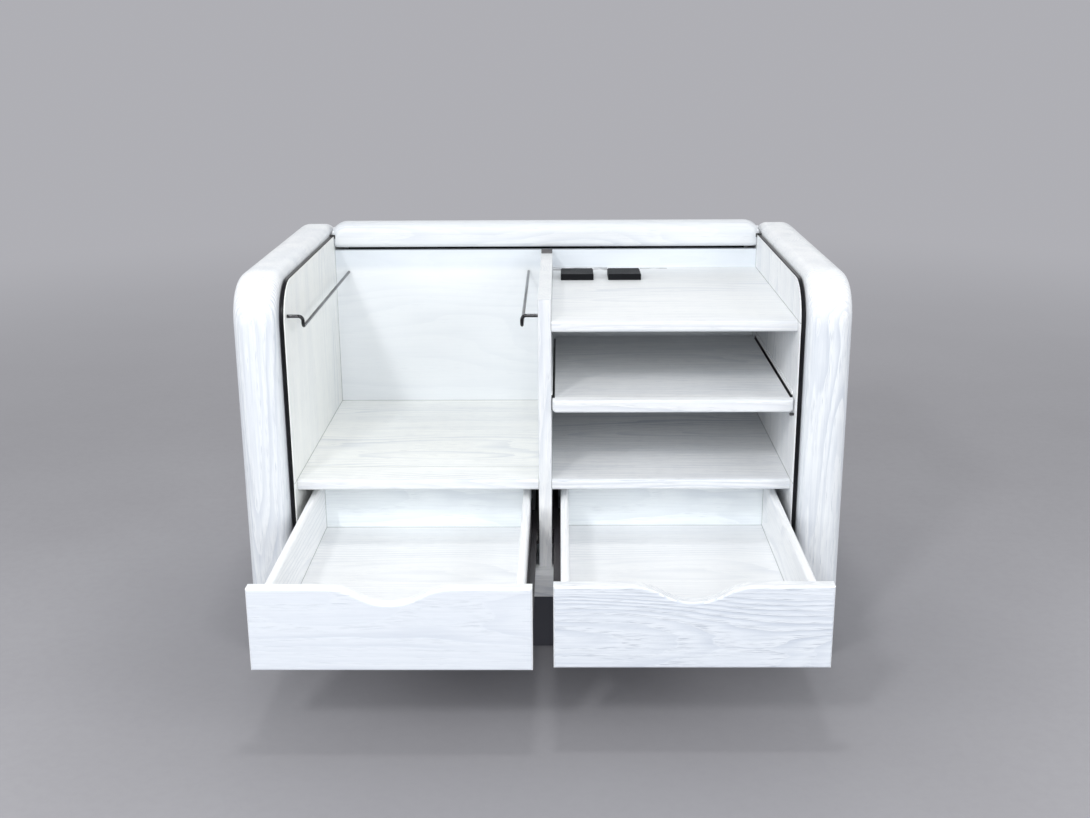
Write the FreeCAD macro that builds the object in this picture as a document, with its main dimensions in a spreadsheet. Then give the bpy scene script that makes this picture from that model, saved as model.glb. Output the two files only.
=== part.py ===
import FreeCAD, Part

import math
import os
from types import SimpleNamespace

import Sketcher
from FreeCAD import Placement, Rotation, Vector

# A roll-front desk: +X to the right, +Y to the back, +Z up. The origin lies on the floor,
# half way between the side panels and half way between their front and rear edges.
# The curtain is open, with its lead bar parked at the rear, and both drawers are pulled out.

DRIVING = {
    # the whole desk
    "desk_width": 869,
    "desk_depth": 600,
    "panel_top": 578,
    "panel_thick": 63.5,
    "panel_lift": 3,
    "panel_overhang": 23,
    "panel_crown": 15,
    "panel_corner_low": 12,
    "panel_corner_front": 67,
    "panel_corner_rear": 105,
    "outer_round": 24,
    "inner_round": 14,
    # boards
    "lining_thick": 8,
    "board_thick": 16,
    "edge_round": 4,
    "divider_thick": 19,
    "divider_left": 356.7,
    "divider_top": 538,
    "divider_round": 1.5,
    "back_thick": 12,
    "back_top": 538,
    "bay_depth": 423,
    "bay_floor_top": 268.5,
    "top_shelf_top": 506.5,
    "outer_back_thick": 8,
    "outer_back_top": 492,
    "outer_back_under": 14,
    "outer_back_gap": 3,
    "outer_back_play": 0.5,
    # bottom rail and plinth
    "rail_top": 130.5,
    "rail_under": 88,
    "rail_deep": 26,
    "rail_round": 10,
    "plinth_thick": 16,
    "plinth_deep": 300,
    "plinth_inset": 4,
    "wall_foot_long": 325,
    "glide_diameter": 28,
    "glide_inset": 45,
    # curtain track
    "front_bend": 59,
    "rear_bend": 76,
    "track_wide": 6.6,
    "track_deep": 12,
    "groove_wide": 1.6,
    "lip_gap": 1,
    "groove_deep": 8,
    "track_tip": 1,
    "shelf_setback": 17,
    "track_low": 19,
    "track_end": 62,
    "divider_notch_long": 36,
    "divider_notch_deep": 14,
    # curtain
    "bar_deep": 44,
    "bar_park": 1,
    "bar_top": 586,
    "bar_under": 543.5,
    "bar_step": 565.2,
    "bar_slot_low": 558.5,
    "bar_slot_deep": 1.9,
    "bar_half": 370.2,
    "bar_low_half": 362.2,
    "bar_end_round": 29,
    "bar_long_round": 18,
    "bar_under_round": 8,
    "shoe_long": 18,
    "shoe_setback": 4,
    "shoe_keel": 0.6,
    "shoe_skirt": 1.6,
    "shoe_play": 0.2,
    "slat_wide": 20,
    "slat_pitch": 20.4,
    "slat_thick": 8,
    "slat_half": 370.4,
    "slat_round": 2.5,
    "tongue_deep": 6,
    "tongue_long": 12,
    "tongue_wide": 0.8,
    "slat_gap": 0.5,
    "slat_count": 37,
    "cloth_thick": 0.6,
    "cloth_half": 356,
    # hanging-file rods
    "rod_radius": 2.5,
    "rod_inset": 22.5,
    "rod_height": 500,
    "rod_hole_height": 515,
    "rod_bend": 6.5,
    "rod_setback": 2,
    # blocks on the top shelf
    "block_wide": 54,
    "block_deep": 56,
    "block_tall": 10,
    "block_round": 3,
    "block_bevel": 1.5,
    "block_offset": 14,
    "block_step": 78,
    "block_back_gap": 59,
    # pull-out shelf
    "pull_under": 372.5,
    "pull_thick": 19,
    "pull_gap": 5,
    "pull_long": 400,
    "pull_out": 6,
    "nosing_gap": 1.5,
    "nosing_deep": 14,
    "nosing_round": 6,
    "guide_ledge": 13,
    "guide_steel": 1.5,
    "guide_tall": 28,
    "slide_thick": 2.6,
    # drawers
    "front_thick": 19,
    "front_top": 236,
    "front_tall": 112.9,
    "front_side_gap": 1,
    "front_mid_gap": 3.7,
    "front_round": 3,
    "front_stop_gap": 1.5,
    "scallop_wide": 160,
    "scallop_deep": 22,
    "left_drawer_open": 278,
    "right_drawer_open": 271,
    "box_long": 390,
    "box_side_thick": 11.5,
    "box_side_tall": 90,
    "box_floor": 74.5,
    "box_floor_thick": 4,
    "box_back_drop": 8,
    "box_groove": 6,
    # drawer runners
    "runner_gap": 13,
    "steel": 1.2,
    "channel_setback": 4,
    "channel_long": 350,
    "channel_floor": 167,
    "channel_tall": 21,
    "channel_low_flange": 8.8,
    "channel_high_flange": 3.4,
    "roller_radius": 9,
    "roller_wide": 5,
    "roller_bore": 2.3,
    "pin_radius": 2,
    "roller_gap": 0.3,
    "roller_out": 3,
    "front_roller_setback": 14,
    "rear_roller_setback": 22,
    "pin_short": 0.6,
    "rail_reach": 10,
    "rail_leg_low": 2.5,
    "rail_leg_tall": 36.5,
}

doc = FreeCAD.newDocument("roll_front_desk")
sheet = doc.addObject("Spreadsheet::Sheet", "Sizes")
for row, (alias, number) in enumerate(DRIVING.items(), start=1):
    sheet.set(f"A{row}", alias)
    sheet.set(f"B{row}", str(number))
    sheet.setAlias(f"B{row}", alias)
doc.recompute()


class Size:
    """A length: its value in millimetres, and the spreadsheet expression that gives it."""

    def __init__(self, value, text):
        self.value = float(value)
        self.text = text

    def __add__(self, other):
        other = as_size(other)
        return Size(self.value + other.value, f"({self.text} + {other.text})")

    def __sub__(self, other):
        other = as_size(other)
        return Size(self.value - other.value, f"({self.text} - {other.text})")

    def __radd__(self, other):
        return as_size(other) + self

    def __rsub__(self, other):
        return as_size(other) - self

    def __mul__(self, other):
        other = as_size(other)
        return Size(self.value * other.value, f"({self.text} * {other.text})")

    def __truediv__(self, other):
        other = as_size(other)
        return Size(self.value / other.value, f"({self.text} / {other.text})")

    def __neg__(self):
        return self * -1


def as_size(number):
    return number if isinstance(number, Size) else Size(number, f"({number})")


S = SimpleNamespace(**{alias: Size(sheet.get(alias), f"Sizes.{alias}") for alias in DRIVING})

# Places that many pieces share, worked out from the driving sizes.
half_width = S.desk_width / 2
panel_face = half_width - S.panel_thick
wall_face = panel_face - S.lining_thick
panel_front = -(S.desk_depth / 2)
track_face = panel_front + S.panel_overhang
shelf_front = track_face + S.shelf_setback
back_face = shelf_front + S.bay_depth
rear_face = -track_face
track_top = S.panel_top - S.panel_crown
rear_bend_y = rear_face - S.rear_bend
rear_bend_z = track_top - S.rear_bend
low_bend_z = S.track_low + S.rear_bend
divider_x = -wall_face + S.divider_left
divider_right = divider_x + S.divider_thick
bay_under = S.bay_floor_top - S.board_thick
rail_back = track_face + S.rail_deep
board_top = S.rail_under + S.board_thick
ZERO = as_size(0)

parts = []


def keep(item, label):
    """Names a finished sub-part, which is written to a file of that name."""
    item.Label = label
    parts.append(item)
    return item


def bind(item, prop, size):
    item.setExpression(prop, as_size(size).text)


def place(item, x, y, z, turn=None):
    """Puts a sub-part at a place that the sheet drives."""
    corner = [as_size(v) for v in (x, y, z)]
    item.Placement = Placement(Vector(*[v.value for v in corner]), turn or Rotation())
    for axis, v in zip("xyz", corner):
        bind(item, f"Placement.Base.{axis}", v)


def new_body(label, x, y, z):
    body = doc.addObject("PartDesign::Body", label)
    place(body, x, y, z)
    return body


def new_sketch(body, role, name, lift=None):
    """A sketch on one of the body's own origin planes, raised along its normal by lift."""
    sketch = body.newObject("Sketcher::SketchObject", f"{body.Name}_{name}")
    plane = [f for f in body.Origin.OriginFeatures if f.Role == role][0]
    sketch.AttachmentSupport = [(plane, "")]
    sketch.MapMode = "FlatFace"
    if lift is not None:
        sketch.AttachmentOffset = Placement(Vector(0, 0, lift.value), Rotation())
        bind(sketch, "AttachmentOffset.Base.z", lift)
    return sketch


def fix(sketch, kind, geometry, point, size, name):
    """Holds a point at a distance from the sketch's origin, or on its axis where that is zero."""
    size = as_size(size)
    if abs(size.value) < 1e-9:
        axis = -2 if kind == "DistanceX" else -1
        sketch.addConstraint(Sketcher.Constraint("PointOnObject", geometry, point, axis))
        return
    index = sketch.addConstraint(Sketcher.Constraint(kind, -1, 1, geometry, point, size.value))
    sketch.renameConstraint(index, name)
    bind(sketch, f"Constraints.{name}", size)


def outline(sketch, corners, closed=True):
    """Straight sides along the sketch's axes, each corner (x, y) sharp or (x, y, radius) rounded."""
    corners = [[as_size(v) for v in c] for c in corners]
    flat = [Vector(c[0].value, c[1].value, 0) for c in corners]
    radii = [c[2] if len(c) > 2 else ZERO for c in corners]
    count = len(flat)
    sides = count if closed else count - 1
    lines = []
    for i in range(sides):
        a, b = flat[i], flat[(i + 1) % count]
        way = (b - a).normalize()
        start = a + way * radii[i].value
        end = b - way * radii[(i + 1) % count].value
        lines.append(sketch.addGeometry(Part.LineSegment(start, end)))
        upright = abs(way.x) < 0.5
        sketch.addConstraint(Sketcher.Constraint("Vertical" if upright else "Horizontal", lines[i]))
        kind = "DistanceX" if upright else "DistanceY"
        fix(sketch, kind, lines[i], 1, corners[i][0 if upright else 1], f"side{sketch.Name}{i}")
    turns = range(count) if closed else range(1, count - 1)
    for i in turns:
        before, after = lines[i - 1], lines[i % sides]
        if radii[i].value == 0:
            sketch.addConstraint(Sketcher.Constraint("Coincident", before, 2, after, 1))
            continue
        inward = (flat[i] - flat[i - 1]).normalize()
        outward = (flat[(i + 1) % count] - flat[i]).normalize()
        radius = radii[i].value
        left = inward.x * outward.y - inward.y * outward.x > 0
        centre = flat[i] - inward * radius + outward * radius
        first, last = (-outward, inward) if left else (inward, -outward)
        a0 = math.atan2(first.y, first.x)
        a1 = math.atan2(last.y, last.x)
        arc = sketch.addGeometry(
            Part.ArcOfCircle(Part.Circle(centre, Vector(0, 0, 1), radius), a0, a1)
        )
        near, far = (1, 2) if left else (2, 1)
        sketch.addConstraint(Sketcher.Constraint("Tangent", before, 2, arc, near))
        sketch.addConstraint(Sketcher.Constraint("Tangent", arc, far, after, 1))
        index = sketch.addConstraint(Sketcher.Constraint("Radius", arc, radius))
        sketch.renameConstraint(index, f"round{i}")
        bind(sketch, f"Constraints.round{i}", radii[i])
    if not closed:
        first_up = abs(flat[1].x - flat[0].x) < 1e-6
        last_up = abs(flat[-1].x - flat[-2].x) < 1e-6
        fix(sketch, "DistanceY" if first_up else "DistanceX", lines[0], 1,
            corners[0][1 if first_up else 0], "starts")
        fix(sketch, "DistanceY" if last_up else "DistanceX", lines[-1], 2,
            corners[-1][1 if last_up else 0], "ends")
    return sketch


def rectangle(sketch, wide, tall):
    return outline(sketch, [(0, 0), (wide, 0), (wide, tall), (0, tall)])


def pad(body, sketch, length, name="pad", backwards=False):
    feature = body.newObject("PartDesign::Pad", f"{body.Name}_{name}")
    feature.Profile = sketch
    feature.Length = as_size(length).value
    bind(feature, "Length", length)
    feature.Reversed = backwards
    sketch.Visibility = False
    return feature


def pocket(body, sketch, length, name="pocket", backwards=False):
    """Cuts a sketch's outline into the body, and stops if nothing was cut."""
    doc.recompute()
    before = body.Shape.Volume
    feature = body.newObject("PartDesign::Pocket", f"{body.Name}_{name}")
    feature.Profile = sketch
    feature.Length = as_size(length).value
    bind(feature, "Length", length)
    feature.Reversed = backwards
    doc.recompute()
    if body.Shape.Volume > before - 1e-3:
        raise RuntimeError(f"{feature.Name} cuts nothing")
    return feature


def fillet(body, base, radius, test, name="round"):
    """Rounds the edges of a feature that pass a test on their middle point and direction."""
    doc.recompute()
    names = []
    for number, edge in enumerate(base.Shape.Edges, start=1):
        middle = edge.valueAt((edge.FirstParameter + edge.LastParameter) / 2)
        ends = edge.Vertexes
        way = ends[-1].Point - ends[0].Point if len(ends) > 1 else Vector()
        if test(middle, way):
            names.append(f"Edge{number}")
    feature = body.newObject("PartDesign::Fillet", f"{body.Name}_{name}")
    feature.Base = (base, names)
    feature.Radius = as_size(radius).value
    bind(feature, "Radius", radius)
    doc.recompute()
    return feature


def near(a, b):
    return abs(a - as_size(b).value) < 0.01


def along(way, axis):
    """Whether an edge runs along an axis, 0 for X, 1 for Y and 2 for Z."""
    return way.Length > 0 and abs(way[axis]) > 0.999 * way.Length


def board(label, corner, size, face, rounded=None):
    """A flat board sketched on its broad face; rounded tests the edges that are eased."""
    body = new_body(label, *corner)
    long_x, deep_y, tall_z = (as_size(v) for v in size)
    spans = {"XY": (long_x, deep_y, tall_z), "XZ": (long_x, tall_z, deep_y),
             "YZ": (deep_y, tall_z, long_x)}
    wide, tall, thick = spans[face]
    sketch = rectangle(new_sketch(body, f"{face}_Plane", "face"), wide, tall)
    slab = pad(body, sketch, thick, backwards=face == "XZ")
    if rounded:
        fillet(body, slab, S.edge_round, rounded)
    return body


def group(label, members):
    """Equal pieces of one sub-part, kept together as separate solids."""
    whole = doc.addObject("Part::Compound", label)
    whole.Links = members
    return keep(whole, label)


# Side panels: thick boards with a large corner at the top, wider at the back than at the
# front, and a generous round along the outside.

def side_panel(label, x, outer_at):
    body = new_body(label, x, panel_front, S.panel_lift)
    tall = S.panel_top - S.panel_lift
    low = S.panel_corner_low
    sketch = new_sketch(body, "YZ_Plane", "outline")
    outline(sketch, [
        (0, 0, low),
        (S.desk_depth, 0, low),
        (S.desk_depth, tall, S.panel_corner_rear),
        (0, tall, S.panel_corner_front),
    ])
    slab = pad(body, sketch, S.panel_thick)
    outside = fillet(body, slab, S.outer_round, lambda m, w: near(m.x, outer_at), "outside")
    inner_at = S.panel_thick.value - as_size(outer_at).value
    fillet(body, outside, S.inner_round,
           lambda m, w: near(m.x, inner_at) and m.z > low.value, "inside")
    return keep(body, label)


side_panel("left_side_panel", -half_width, 0)
side_panel("right_side_panel", panel_face, S.panel_thick)


# Inner walls: the boards that line the side panels. Their edge is rebated for the track,
# so that a thin lip covers it on the room side.

lip_thick = S.lining_thick - S.track_wide


def wall_outline(inset):
    """The wall's outline, inset from the track's outer face, seen in its own Y and Z."""
    rear = rear_face - track_face - inset
    low, top = S.track_low + inset, track_top - inset
    rear_round = S.rear_bend - inset
    return [
        (inset, S.rail_top),
        (S.rail_deep, S.rail_top),
        (S.rail_deep, S.rail_under),
        (S.wall_foot_long, S.rail_under),
        (S.wall_foot_long, low),
        (rear, low, rear_round),
        (rear, top, rear_round),
        (inset, top, S.front_bend - inset),
    ]


def inner_wall(label, x, lip_first):
    body = new_body(label, x, track_face, 0)
    lip = new_sketch(body, "YZ_Plane", "lip", ZERO if lip_first else S.track_wide)
    outline(lip, wall_outline(S.track_tip))
    pad(body, lip, lip_thick, "lip_pad")
    core = new_sketch(body, "YZ_Plane", "core", lip_thick if lip_first else ZERO)
    outline(core, wall_outline(S.track_deep))
    pad(body, core, S.track_wide, "core_pad")
    return keep(body, label)


inner_wall("left_inner_wall", -panel_face, False)
inner_wall("right_inner_wall", wall_face, True)


# Curtain tracks: a black rail that runs up the front, over the top, down the back and
# forward again under the desk, where the open curtain lies. Its rib stands between the
# panel's groove, which guides the curtain, and a narrow gap beside the wall's lip.

def curtain_track(label, x, groove_at_right):
    body = new_body(label, x, track_face, 0)
    path = new_sketch(body, "YZ_Plane", "path")
    rear = rear_face - track_face
    outline(path, [
        (0, S.rail_top),
        (0, track_top, S.front_bend),
        (rear, track_top, S.rear_bend),
        (rear, S.track_low, S.rear_bend),
        (S.track_end - track_face, S.track_low),
    ], closed=False)
    section = new_sketch(body, "XY_Plane", "section", S.rail_top)
    corners = [
        (ZERO, S.groove_deep),
        (S.groove_wide, S.groove_deep),
        (S.groove_wide, ZERO),
        (S.track_wide - S.lip_gap, ZERO),
        (S.track_wide - S.lip_gap, S.groove_deep),
        (S.track_wide, S.groove_deep),
        (S.track_wide, S.track_deep),
        (ZERO, S.track_deep),
    ]
    if groove_at_right:
        corners = [(S.track_wide - across, depth) for across, depth in corners]
    outline(section, corners)
    doc.recompute()
    rail = body.newObject("PartDesign::AdditivePipe", f"{body.Name}_rail")
    rail.Profile = section
    rail.Spine = (path, [f"Edge{i}" for i in range(1, len(path.Shape.Edges) + 1)])
    path.Visibility = False
    section.Visibility = False
    return keep(body, label)


curtain_track("left_track", -panel_face, False)
curtain_track("right_track", panel_face - S.track_wide, True)


# Fixed boards between the inner walls.

def front_edge(middle, way):
    return near(middle.y, 0) and along(way, 0)


def divider():
    """The upright between the bays; it stands on the bottom rail and the bottom board."""
    body = new_body("divider", divider_x, shelf_front, 0)
    step = rail_back - shelf_front
    sketch = new_sketch(body, "YZ_Plane", "outline")
    notch = S.bay_depth - S.divider_notch_long
    outline(sketch, [
        (0, S.rail_top),
        (step, S.rail_top),
        (step, board_top),
        (S.bay_depth, board_top),
        (S.bay_depth, S.divider_top - S.divider_notch_deep),
        (notch, S.divider_top - S.divider_notch_deep),
        (notch, S.divider_top),
        (0, S.divider_top),
    ])
    slab = pad(body, sketch, S.divider_thick)
    fillet(body, slab, S.divider_round, lambda m, w: near(m.y, 0) and along(w, 2))
    return keep(body, "divider")


divider()

shelf_lip = (S.bay_depth, S.board_thick)
keep(board("bay_floor", (-wall_face, shelf_front, bay_under),
           (S.divider_left, *shelf_lip), "XY", front_edge), "bay_floor")
right_bay = wall_face - divider_right
keep(board("right_lower_shelf", (divider_right, shelf_front, bay_under),
           (right_bay, *shelf_lip), "XY", front_edge), "right_lower_shelf")
keep(board("right_top_shelf", (divider_right, shelf_front, S.top_shelf_top - S.board_thick),
           (right_bay, *shelf_lip), "XY", front_edge), "right_top_shelf")
keep(board("inner_back_panel", (-wall_face, back_face, board_top),
           (wall_face * 2, S.back_thick, S.back_top - board_top), "XZ"), "inner_back_panel")
keep(board("bottom_board", (-wall_face, rail_back, S.rail_under),
           (wall_face * 2, back_face + S.back_thick - rail_back, S.board_thick), "XY"),
     "bottom_board")
outer_back_half = panel_face - S.outer_back_play
outer_back_y = S.desk_depth / 2 - S.outer_back_thick - S.outer_back_gap
keep(board("outer_back_panel", (-outer_back_half, outer_back_y, S.outer_back_under),
           (outer_back_half * 2, S.outer_back_thick, S.outer_back_top - S.outer_back_under),
           "XZ"), "outer_back_panel")


def bottom_front_rail():
    """The rail under the drawers, with a rounded upper edge that the open front leaves in view."""
    body = new_body("bottom_front_rail", -panel_face, track_face, S.rail_under)
    tall = S.rail_top - S.rail_under
    sketch = new_sketch(body, "YZ_Plane", "section")
    outline(sketch, [(0, 0, 3), (S.rail_deep, 0), (S.rail_deep, tall), (0, tall, S.rail_round)])
    pad(body, sketch, panel_face * 2)
    return keep(body, "bottom_front_rail")


def plinth():
    """The recessed base: a front board and two side boards on the floor."""
    half = panel_face - S.plinth_inset
    body = new_body("plinth", -half, shelf_front, 0)
    sketch = new_sketch(body, "XY_Plane", "plan")
    wide, board_wide = half * 2, S.plinth_thick
    outline(sketch, [
        (0, 0),
        (wide, 0),
        (wide, S.plinth_deep),
        (wide - board_wide, S.plinth_deep),
        (wide - board_wide, board_wide),
        (board_wide, board_wide),
        (board_wide, S.plinth_deep),
        (0, S.plinth_deep),
    ])
    pad(body, sketch, S.rail_under)
    return keep(body, "plinth")


bottom_front_rail()
plinth()


def glide(name, x, y):
    disc = doc.addObject("Part::Cylinder", name)
    disc.Radius = S.glide_diameter.value / 2
    bind(disc, "Radius", S.glide_diameter / 2)
    bind(disc, "Height", S.panel_lift)
    place(disc, x, y, 0)
    return disc


glide_x = half_width - S.panel_thick / 2
glide_y = S.desk_depth / 2 - S.glide_inset
group("floor_glides", [
    glide("glide_front_left", -glide_x, -glide_y),
    glide("glide_front_right", glide_x, -glide_y),
    glide("glide_rear_left", -glide_x, glide_y),
    glide("glide_rear_right", glide_x, glide_y),
])


# Hanging-file rods: bent wire, let into the wall at the front and into the back panel.

def bent_line(points, bend):
    """A wire of straight runs through the points, with a tangent arc at each inner point."""
    edges = []
    start = points[0]
    for before, corner, after in zip(points, points[1:], points[2:]):
        inward = (corner - before).normalize()
        outward = (after - corner).normalize()
        half_turn = inward.getAngle(outward) / 2
        cut = bend * math.tan(half_turn)
        near_end = corner - inward * cut
        far_end = corner + outward * cut
        toward = (outward - inward).normalize()
        middle = corner + toward * (bend / math.cos(half_turn) - bend)
        if (near_end - start).Length > 1e-3:
            edges.append(Part.LineSegment(start, near_end).toShape())
        edges.append(Part.Arc(near_end, middle, far_end).toShape())
        start = far_end
    edges.append(Part.LineSegment(start, points[-1]).toShape())
    return Part.Wire(edges)


def file_rod(label, wall_x, into_bay):
    rod_x = wall_x.value + into_bay * S.rod_inset.value
    y = (shelf_front + S.rod_setback).value
    route = doc.addObject("Part::Feature", f"{label}_route")
    route.Shape = bent_line([
        Vector(wall_x.value, y, S.rod_hole_height.value),
        Vector(rod_x, y, S.rod_hole_height.value),
        Vector(rod_x, y, S.rod_height.value),
        Vector(rod_x, back_face.value, S.rod_height.value),
    ], S.rod_bend.value)
    ring = doc.addObject("Part::Circle", f"{label}_ring")
    ring.Radius = S.rod_radius.value
    bind(ring, "Radius", S.rod_radius)
    place(ring, wall_x, y, S.rod_hole_height, Rotation(Vector(0, 1, 0), 90))
    doc.recompute()
    sweep = doc.addObject("Part::Sweep", label)
    sweep.Sections = [ring]
    sweep.Spine = (route, [f"Edge{i}" for i in range(1, len(route.Shape.Edges) + 1)])
    sweep.Solid = True
    return keep(sweep, label)


file_rod("left_file_rod", -wall_face, 1)
file_rod("right_file_rod", divider_x, -1)


# Two flat black blocks that lie at the rear of the top shelf.

def shelf_block(label, x):
    y = back_face - S.block_back_gap - S.block_deep
    body = new_body(label, x, y, S.top_shelf_top)
    sketch = new_sketch(body, "XY_Plane", "plan")
    w, d, r = S.block_wide, S.block_deep, S.block_round
    outline(sketch, [(0, 0, r), (w, 0, r), (w, d, r), (0, d, r)])
    slab = pad(body, sketch, S.block_tall)
    doc.recompute()
    top = [f"Face{n}" for n, face in enumerate(slab.Shape.Faces, start=1)
           if near(face.CenterOfMass.z, S.block_tall)]
    bevel = body.newObject("PartDesign::Chamfer", f"{label}_bevel")
    bevel.Base = (slab, top)
    bevel.Size = S.block_bevel.value
    bind(bevel, "Size", S.block_bevel)
    return keep(body, label)


shelf_block("left_shelf_block", divider_right + S.block_offset)
shelf_block("right_shelf_block", divider_right + S.block_offset + S.block_step)


# Pull-out shelf on slim black slides, which its wider front nosing hides.

pull_x = divider_right + S.pull_gap
pull_y = shelf_front - S.pull_out
pull_wide = right_bay - S.pull_gap * 2
nosing_back = pull_y + S.nosing_deep


def pull_out_shelf():
    body = new_body("pull_out_shelf", divider_right + S.nosing_gap, pull_y, S.pull_under)
    wide = right_bay - S.nosing_gap * 2
    set_in = S.pull_gap - S.nosing_gap
    sketch = new_sketch(body, "XY_Plane", "plan")
    outline(sketch, [
        (0, 0),
        (wide, 0),
        (wide, S.nosing_deep),
        (wide - set_in, S.nosing_deep),
        (wide - set_in, S.pull_long),
        (set_in, S.pull_long),
        (set_in, S.nosing_deep),
        (0, S.nosing_deep),
    ])
    slab = pad(body, sketch, S.pull_thick)
    ends = fillet(body, slab, S.nosing_round,
                  lambda m, w: near(m.z, 0) and near(m.y, S.nosing_deep / 2) and along(w, 1),
                  "corner_round")
    fillet(body, ends, S.edge_round, lambda m, w: near(m.y, 0) and along(w, 0), "front_round")
    return keep(body, "pull_out_shelf")


pull_out_shelf()


def profile_bar(name, x, y, z, corners, long, mirror_wide=None):
    """A bar along Y with its section seen from the front; mirror_wide flips it left to right."""
    body = new_body(name, x, y, z)
    if mirror_wide is not None:
        corners = [(mirror_wide - c[0], *c[1:]) for c in corners]
    outline(new_sketch(body, "XZ_Plane", "section"), corners)
    pad(body, body.Group[-1], long, backwards=True)
    return body


leg, ledge = S.guide_steel, S.guide_ledge
guide_corners = [(ZERO, ZERO), (ledge, ZERO), (ledge, leg), (leg, leg), (leg, S.guide_tall),
                 (ZERO, S.guide_tall)]
guide_y = nosing_back + S.pull_out + 2
guide_z = S.pull_under - leg - S.roller_gap
guide_long = S.pull_long - S.nosing_deep - 10
group("pull_shelf_guides", [
    profile_bar("pull_guide_left", divider_right, guide_y, guide_z, guide_corners, guide_long),
    profile_bar("pull_guide_right", wall_face - ledge, guide_y, guide_z, guide_corners,
                guide_long, ledge),
])
slide_corners = [(ZERO, ZERO), (S.slide_thick, ZERO, 1), (S.slide_thick, S.pull_thick - 3, 1),
                 (ZERO, S.pull_thick - 3)]
slide_y = nosing_back + 2
slide_long = S.pull_long - S.nosing_deep - 10
group("pull_shelf_slides", [
    profile_bar("pull_slide_left", pull_x - S.slide_thick, slide_y, S.pull_under + 1,
                slide_corners, slide_long, S.slide_thick),
    profile_bar("pull_slide_right", pull_x + pull_wide, slide_y, S.pull_under + 1,
                slide_corners, slide_long),
])


# Drawers.

front_closed = track_face - S.front_stop_gap - S.front_thick
box_under = S.front_top - S.box_side_tall
floor_z = S.front_top - S.box_floor - S.box_floor_thick
groove_slack = 0.1


def drawer_front(label, x, front_y, wide, box_x, box_wide):
    """A drawer front with a finger scallop of three tangent arcs in its top edge."""
    body = new_body(label, x, front_y, S.front_top - S.front_tall)
    tall = S.front_tall
    quarter = S.scallop_wide / 4
    half_deep = S.scallop_deep / 2
    radius = (quarter * quarter + half_deep * half_deep) / (half_deep * 2)
    sketch = new_sketch(body, "XZ_Plane", "face")
    w, h, r = wide.value, tall.value, radius.value
    q, d, c = quarter.value, half_deep.value, wide.value / 2
    corners = [(0, 0), (w, 0), (w, h), (c + 2 * q, h), (c + q, h - d), (c - q, h - d),
               (c - 2 * q, h), (0, h)]
    points = [Vector(a, b, 0) for a, b in corners]
    up = Vector(0, 0, 1)
    spread = math.asin(q / r)
    quarter_turn = math.pi / 2

    def line(a, b):
        return sketch.addGeometry(Part.LineSegment(points[a], points[b]))

    def arc(centre, first, last):
        circle = Part.Circle(centre, up, r)
        return sketch.addGeometry(Part.ArcOfCircle(circle, first, last))

    under, right, top_right = line(0, 1), line(1, 2), line(2, 3)
    shoulder_right = arc(Vector(c + 2 * q, h - r, 0), quarter_turn, quarter_turn + spread)
    dip = arc(Vector(c, h - 2 * d + r, 0), -quarter_turn - spread, -quarter_turn + spread)
    shoulder_left = arc(Vector(c - 2 * q, h - r, 0), quarter_turn - spread, quarter_turn)
    top_left, left = line(6, 7), line(7, 0)
    chain = Sketcher.Constraint
    for a, b in ((under, right), (right, top_right), (top_left, left), (left, under)):
        sketch.addConstraint(chain("Coincident", a, 2, b, 1))
    sketch.addConstraint(chain("Tangent", top_right, 2, shoulder_right, 1))
    sketch.addConstraint(chain("Tangent", shoulder_right, 2, dip, 2))
    sketch.addConstraint(chain("Tangent", dip, 1, shoulder_left, 1))
    sketch.addConstraint(chain("Tangent", shoulder_left, 2, top_left, 1))
    for flat in (under, top_right, top_left):
        sketch.addConstraint(chain("Horizontal", flat))
    for upright in (left, right):
        sketch.addConstraint(chain("Vertical", upright))
    fix(sketch, "DistanceX", under, 1, 0, "left_end")
    fix(sketch, "DistanceY", under, 1, 0, "foot")
    fix(sketch, "DistanceX", right, 1, wide, "wide")
    fix(sketch, "DistanceY", top_right, 1, tall, "tall")
    fix(sketch, "DistanceX", dip, 3, wide / 2, "dip_middle")
    fix(sketch, "DistanceY", dip, 3, tall - S.scallop_deep + radius, "dip_centre")
    fix(sketch, "DistanceY", top_left, 2, tall, "tall_left")
    for name, item in (("dip", dip), ("shoulder", shoulder_right)):
        index = sketch.addConstraint(chain("Radius", item, r))
        sketch.renameConstraint(index, f"{name}_radius")
        bind(sketch, f"Constraints.{name}_radius", radius)
    sketch.addConstraint(chain("Equal", shoulder_right, shoulder_left))
    slab = pad(body, sketch, S.front_thick, backwards=True)
    eased = fillet(body, slab, S.front_round, lambda m, way: near(m.y, 0), "front_round")
    low = tall.value - S.scallop_deep.value - 1
    fillet(body, eased, S.front_round - 0.5,
           lambda m, way: near(m.y, S.front_thick) and m.z > low and not along(way, 2), "top_round")
    housing = S.box_side_thick - S.box_groove
    groove = new_sketch(body, "YZ_Plane", "groove", box_x + housing - x)
    lowest = floor_z - (S.front_top - tall) - groove_slack
    deepest = S.front_thick - S.box_groove
    outline(groove, [(deepest, lowest), (S.front_thick, lowest),
                     (S.front_thick, lowest + S.box_floor_thick + 2 * groove_slack),
                     (deepest, lowest + S.box_floor_thick + 2 * groove_slack)])
    pocket(body, groove, box_wide - housing * 2, "floor_groove", backwards=True)
    return keep(body, label)


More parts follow.
